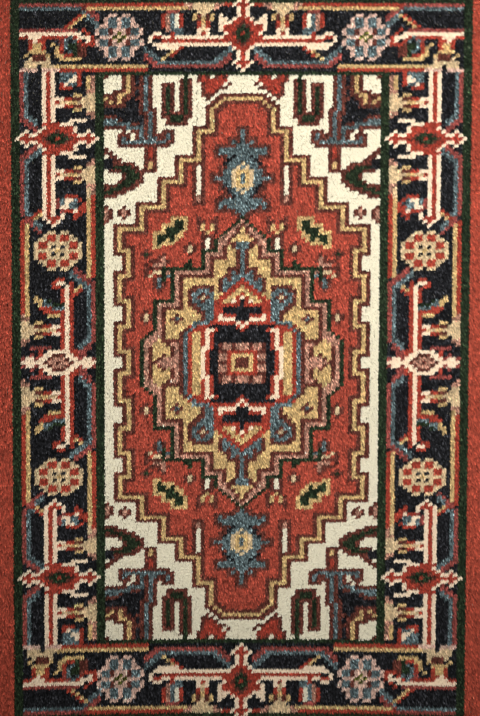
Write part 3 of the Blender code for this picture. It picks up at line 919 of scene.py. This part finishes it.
def woven(name, low, high, cells, bottom, top, bump, both_sides, material, dyes=None):
    """A closed cloth whose cells stand proud, below or, for a plain weave, over and under in turn."""
    across, along = cells
    x = np.linspace(low[0], high[0], across + 1)
    y = np.linspace(low[1], high[1], along + 1)
    corner_x, corner_y = (grid.ravel() for grid in np.meshgrid(x, y))
    middle_x, middle_y = (grid.ravel() for grid in np.meshgrid((x[1:] + x[:-1]) / 2, (y[1:] + y[:-1]) / 2))
    row, column = np.divmod(np.arange(across * along), across)
    turn = np.where((row + column) % 2, 1.0, -1.0) if both_sides else np.full(len(row), -1.0)
    grid = (across + 1) * (along + 1)

    def layer(height, shift):
        corners = np.stack([corner_x, corner_y, np.full(grid, height)], 1)
        middles = np.stack([middle_x, middle_y, height + turn * bump], 1)
        a = row * (across + 1) + column
        b, c, d = a + 1, a + across + 2, a + across + 1
        m = grid + np.arange(len(row))
        faces = np.stack([np.stack(face, 1) for face in ((a, b, m), (b, c, m), (c, d, m), (d, a, m))], 1)
        return np.concatenate([corners, middles]), faces.reshape(-1, 3) + shift

    under, under_faces = layer(bottom, 0)
    ring = np.concatenate([np.arange(across), np.arange(along) * (across + 1) + across,
                           along * (across + 1) + np.arange(across, 0, -1),
                           np.arange(along, 0, -1) * (across + 1)])
    after = np.roll(ring, -1)
    if both_sides:
        over, over_faces = layer(top, len(under))
        groups = [under_faces[:, ::-1], over_faces]
        lifted = len(under) + ring
    else:
        over = np.stack([corner_x[ring], corner_y[ring], np.full(len(ring), top)], 1)
        lifted = len(under) + np.arange(len(ring))
        groups = [under_faces[:, ::-1], lifted[None]]
    walls = np.stack([ring, after, np.roll(lifted, -1), lifted], 1)
    points = np.concatenate([under, over])
    made = new_object(name, points, groups + [walls], material)
    place = points[corners_of(made.data)][:, :2].copy()
    first = groups[0].size
    place[first:, 0] += (high[0] - low[0]) * (1 + MAP_GAP)
    place[-walls.size:, 1] += np.tile([0, 0, 1, 1], len(walls)) * (high[1] - low[1]) * MAP_GAP
    add_uv(made.data, place)
    colours = np.tile(COTTON_COLOUR, (len(place), 1))
    if dyes is not None:
        colours[:first] = np.repeat(dyes, CELL_CORNERS, axis=0)
    add_colour(made.data, "dye", colours, "CORNER")
    return made


def kilim(end_name, end):
    near, far = sorted((end * (HALF_LENGTH + SEAM), end * (HALF_LENGTH + KILIM_LENGTH)))
    made = woven(f"flat_weave_{end_name}", (-HALF_WIDTH, near), (HALF_WIDTH, far), KILIM_CELLS,
                 KILIM_UNDERSIDE, KILIM_TOP, KILIM_BUMP, True, cotton)
    stand_for(made, f"kilim_{end_name}")
    return made


# The back shows every knot in its dye, so this cloth has a cell for each knot.
back = woven("ground_cloth", (-HALF_WIDTH, -HALF_LENGTH), (HALF_WIDTH, HALF_LENGTH), knot_dye.shape[::-1],
             WEAVE_UNDERSIDE, WEAVE_TOP, KNOT_BACK, False, wool, DYE_COLOURS[knot_dye.ravel()])
stand_for(back, "ground_weave")
kilims = [kilim(end_name, end) for end_name, end in (("head", 1), ("foot", -1))]

# ---- Selvedges: a yarn overcast round the edge cords ----
SELVEDGE_RADIUS = 0.00325
OVERCAST_PITCH = 0.0024
OVERCAST_HALF_WIDTH, OVERCAST_HALF_THICK = 0.00128, 0.0005
OVERCAST_END = 0.0013
OVERCAST_UNEVEN = 0.00012
OVERCAST_RINGS = 9


def overcasting(side_name, side):
    """A flat red yarn wound round the edge cord from the foot to the head."""
    turns = round(2 * HALF_LENGTH / OVERCAST_PITCH)
    angle = np.linspace(0, math.tau * turns, turns * OVERCAST_RINGS + 1)
    wander = np.interp(angle, np.arange(turns + 1) * math.tau, rng.normal(0, OVERCAST_UNEVEN, turns + 1))
    y = np.linspace(-HALF_LENGTH + OVERCAST_END, HALF_LENGTH - OVERCAST_END, len(angle)) + wander
    outward = np.stack([np.cos(angle), np.zeros(len(angle)), np.sin(angle)], 1)
    middle = np.stack([np.full(len(angle), side * (HALF_WIDTH + SEAM + SELVEDGE_RADIUS)), y,
                       np.full(len(angle), SELVEDGE_RADIUS)], 1)
    path = middle + outward * (SELVEDGE_RADIUS - OVERCAST_HALF_THICK)
    made = yarns(f"overcasting_{side_name}", path[None], OVERCAST_HALF_WIDTH, OVERCAST_HALF_THICK, red_yarn,
                 outward[None])
    stand_for(made, f"selvedge_wrap_{side_name}")
    return made


# ---- End cords: two yarns twined along the last knots ----
TWINE_PITCH = 0.005
TWINE_RADIUS = 0.00055
TWINE_RINGS = 6
TWINE_END = 0.0006
TWINE_OUT, TWINE_UP = 0.0014, 0.0036


def end_cord(end_name, end):
    """A navy cord of two yarns that lies on the kilim against the last row of knots."""
    turns = round(2 * HALF_WIDTH / TWINE_PITCH)
    angle = np.linspace(0, math.tau * turns, turns * TWINE_RINGS + 1)
    x = np.linspace(-HALF_WIDTH + TWINE_END, HALF_WIDTH - TWINE_END, len(angle))
    y = end * (HALF_LENGTH + TWINE_OUT)
    paths = np.stack([np.stack([x, y + TWINE_RADIUS * np.cos(angle + start),
                                TWINE_UP + TWINE_RADIUS * np.sin(angle + start)], 1)
                      for start in (0, math.pi)])
    made = yarns(f"twined_cord_{end_name}", paths, TWINE_RADIUS, TWINE_RADIUS, navy_yarn)
    stand_for(made, f"end_cord_{end_name}")
    return made


# ---- Fringes: the warps of each group knotted into a tassel ----
TASSEL_PITCH = 0.0150
TASSELS = 40
TASSEL_LENGTH = 0.042
WARPS = 6
WARP_HALF_WIDTHS = [0.0008, 0.0007, 0.0006, 0.0006, 0.0008, 0.0008, 0.0005]
WARP_FLATNESS = 0.85
FRINGE_GAP = 0.0003
FRINGE_START = HALF_LENGTH + KILIM_LENGTH + FRINGE_GAP
KNOT_AT, KNOT_LONG = 0.0060, 0.0030
KNOT_TURNS, KNOT_POINTS = 2.2, 23
KNOT_YARN = 0.00065


def tassel_middle(number):
    return (number - (TASSELS - 1) / 2) * TASSEL_PITCH


def warp_path(middle, number, sway):
    """One warp end: out of the kilim, in to the knot, and loose from there to its cut tip."""
    share = (number + 0.5) / WARPS * 2 - 1
    in_knot, tip = share * 0.0011, share * 0.0030 + sway
    over = 0.0006 * (number % 2)
    reach = TASSEL_LENGTH + 0.0020 + rng.normal(0, 0.0015)
    wave, lift = rng.normal(0, 0.0007, 3), rng.uniform(0.0007, 0.0022, 3)
    return [(middle + share * 0.0062, FRINGE_START, 0.0012),
            (middle + share * 0.0035, FRINGE_START + 0.0030, 0.0014),
            (middle + in_knot, FRINGE_START + KNOT_AT, 0.0018 + over),
            (middle + in_knot * 0.9, FRINGE_START + KNOT_AT + KNOT_LONG, 0.0018 - over),
            (middle + tip * 0.6 + wave[0], FRINGE_START + reach * 0.42, lift[0]),
            (middle + tip + wave[1], FRINGE_START + reach * 0.72, lift[1]),
            (middle + tip * 1.05 + wave[2], FRINGE_START + reach, lift[2])]


def knot_loops(middle, end, tilt):
    """The turns of cotton that bind a tassel."""
    angle = np.linspace(0, math.tau * KNOT_TURNS, KNOT_POINTS)
    along = FRINGE_START + KNOT_AT + 0.0004 + 0.0011 * angle / math.tau
    return np.stack([middle + 0.0019 * np.cos(angle), end * along + 0.0006 * np.cos(angle + tilt),
                     0.0019 + 0.0013 * np.sin(angle)], 1)


def fringe(end_name, end):
    paths = []
    for number in range(TASSELS):
        sway = rng.normal(0, 0.0012)
        paths += [warp_path(tassel_middle(number), warp_number, sway) for warp_number in range(WARPS)]
    paths = np.array(paths)
    paths[..., 1] *= end
    wide = np.tile(WARP_HALF_WIDTHS, (len(paths), 1))
    made = yarns(f"tassels_{end_name}", paths, wide, wide * WARP_FLATNESS, cotton)
    stand_for(made, f"fringe_{end_name}")
    loops = np.array([knot_loops(tassel_middle(number), end, rng.normal(0, 0.2))
                      for number in range(TASSELS)])
    knots = yarns(f"tassel_knots_{end_name}", loops, KNOT_YARN, KNOT_YARN, cotton, np.array([0.0, 1.0, 0.0]))
    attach(knots, "root")
    return [made, knots]


trims = []
for side_name, side in (("left", -1), ("right", 1)):
    trims.append(overcasting(side_name, side))
for end_name, end in (("head", 1), ("foot", -1)):
    trims.append(end_cord(end_name, end))
    trims += fringe(end_name, end)
# The CAD pieces that still show are the selvedges' cores.
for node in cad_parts.values():
    if not node.hide_render:
        node.data.materials.clear()
        node.data.materials.append(cotton)

# ---- Floor, light and camera ----
VIEW_HEIGHT = 2.4
WINDOW_LENGTH = 0.818
VIEW_CENTRE_Y = 0.0048
SENSOR = 36


def floor():
    bpy.ops.object.select_all(action="DESELECT")
    bpy.ops.mesh.primitive_plane_add(size=8, location=(0, 0, -0.0002))
    made = bpy.context.object
    made.name = "floor"
    surface, tree, shader = new_material("pale_floor")
    shader.inputs["Base Color"].default_value = (0.62, 0.61, 0.59, 1)
    shader.inputs["Roughness"].default_value = 0.8
    made.data.materials.append(surface)


def lamp(name, power, size, place, aim, spread=math.pi):
    data = bpy.data.lights.new(name, "AREA")
    data.energy = power
    data.size = size
    data.spread = spread
    made = bpy.data.objects.new(name, data)
    made.location = place
    made.rotation_euler = (Vector(aim) - Vector(place)).to_track_quat("-Z", "Y").to_euler()
    bpy.context.scene.collection.objects.link(made)


def camera():
    """Straight above the rug, with a little less of it in view than there is."""
    data = bpy.data.cameras.new("camera")
    made = bpy.data.objects.new("camera", data)
    made.location = (0, VIEW_CENTRE_Y, VIEW_HEIGHT)
    data.sensor_width = SENSOR
    data.lens = SENSOR * (VIEW_HEIGHT - PILE_TIP) / WINDOW_LENGTH
    bpy.context.scene.collection.objects.link(made)
    bpy.context.scene.camera = made


def studio_air():
    """A weak, even light from all round."""
    world = bpy.data.worlds.new("studio")
    world.use_nodes = True
    air = world.node_tree.nodes["Background"]
    air.inputs["Color"].default_value = (0.95, 0.97, 1.0, 1)
    air.inputs["Strength"].default_value = 0.175
    bpy.context.scene.world = world


floor()
lamp("key", 12.4, 0.8, (0.14, 0.34, 1.2), (0.14, 0.32, 0), math.radians(102))
lamp("fill", 2.0, 2.0, (-1.2, 0.6, 2.2), (0, 0, 0))
studio_air()
bpy.context.scene.view_settings.view_transform = "Standard"
camera()
